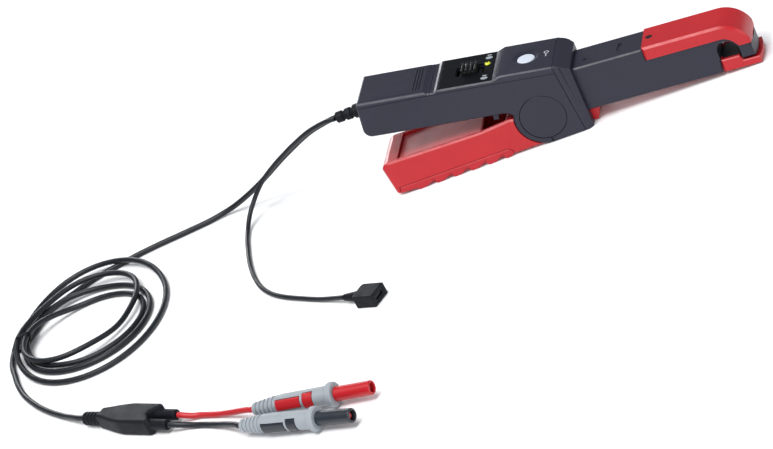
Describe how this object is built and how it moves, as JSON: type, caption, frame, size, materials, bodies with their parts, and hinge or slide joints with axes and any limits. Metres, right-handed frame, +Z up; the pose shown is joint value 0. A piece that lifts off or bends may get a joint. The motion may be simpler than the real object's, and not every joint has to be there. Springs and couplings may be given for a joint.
{
  "type": "clamp meter",
  "caption": "Slim-jaw current probe with a squeeze lever, sliding range switch and zero button, on a coiled signal lead with two test plugs and a power cord.",
  "frame": {"origin": "bottom centre of the probe without its cords, on the surface it stands on", "axes": "+X along the probe towards the jaw tip, +Z up, +Y across the probe, away from the side the cords lie on"},
  "size_m": [0.4781, 0.3011, 0.0641],
  "materials": {
    "housing_plastic": "fine satin texture",
    "label_film": "satin",
    "red_plastic": "semi-gloss",
    "red_rubber": "soft ribbed",
    "tray_plastic": "satin",
    "button_plastic": "satin",
    "led_lens": "clear",
    "grey_lens": "clear",
    "black_plastic": "satin",
    "steel": "plain",
    "core_steel": "laminated",
    "copper": "enamelled wire",
    "board": "solder mask",
    "battery_case": "satin",
    "cord_jacket": "matte",
    "red_jacket": "matte",
    "handle_grey": "matte"
  },
  "bodies": {
    "housing": {"lower_shell": "housing_plastic", "top_panel": "housing_plastic", "label_plate": "label_film", "range_window_left": "grey_lens", "range_window_right": "grey_lens", "status_led": "led_lens", "front_bezel": "housing_plastic", "circuit_board": "board", "switch_body": "steel", "zero_switch": "black_plastic", "battery": "battery_case", "battery_snap": "black_plastic", "housing_screw_left": "steel", "housing_screw_right": "steel", "pivot_pin": "steel", "pivot_cover_left": "housing_plastic", "pivot_cover_right": "housing_plastic", "pivot_spring": "steel", "jaw_beam": "housing_plastic", "nose_cap": "red_plastic", "cap_screw": "steel", "upper_core": "core_steel", "hall_sensor": "black_plastic", "sensor_coil": "copper", "strain_relief": "black_plastic", "lead_run": "cord_jacket", "lead_coil": "cord_jacket", "coil_tie": "black_plastic", "lead_tail": "cord_jacket", "power_cord": "cord_jacket", "red_lead": "red_jacket", "black_lead": "cord_jacket", "splitter": "black_plastic", "power_connector": "black_plastic", "power_socket": "steel", "red_plug_handle": "handle_grey", "red_plug_inlay_long": "red_plastic", "red_plug_inlay_short": "red_plastic", "red_plug_shroud": "red_plastic", "red_plug_pin": "steel", "black_plug_handle": "handle_grey", "black_plug_inlay_long": "black_plastic", "black_plug_inlay_short": "black_plastic", "black_plug_shroud": "black_plastic", "black_plug_pin": "steel"},
    "lever": {"lever": "red_plastic", "lever_tray": "tray_plastic", "finger_sole": "red_rubber", "lower_core": "core_steel"},
    "switch_knob": {"switch_knob": "black_plastic"},
    "zero_button": {"zero_button": "button_plastic"},
    "battery_cover": {"battery_cover": "housing_plastic"}
  },
  "joints": [
    {"name": "lever_hinge", "type": "hinge", "parent": "housing", "child": "lever", "pos_m": [-0.01403, 0, 0.0171], "axis": [0, 1, 0], "range_deg": [0, 8.5], "stiffness_Nm_per_rad": 3, "springref_deg": -20.05},
    {"name": "switch_slide", "type": "slide", "parent": "housing", "child": "switch_knob", "axis": [0.9826, 0, -0.1857], "range_m": [-0.0033, 0.0033]},
    {"name": "zero_press", "type": "slide", "parent": "housing", "child": "zero_button", "axis": [-0.1857, 0, -0.9826], "range_m": [0, 0.0007], "stiffness_N_per_m": 600, "springref_m": -0.001},
    {"name": "cover_slide", "type": "slide", "parent": "housing", "child": "battery_cover", "axis": [-0.9826, 0, 0.1857], "range_m": [0, 0.042]}
  ]
}
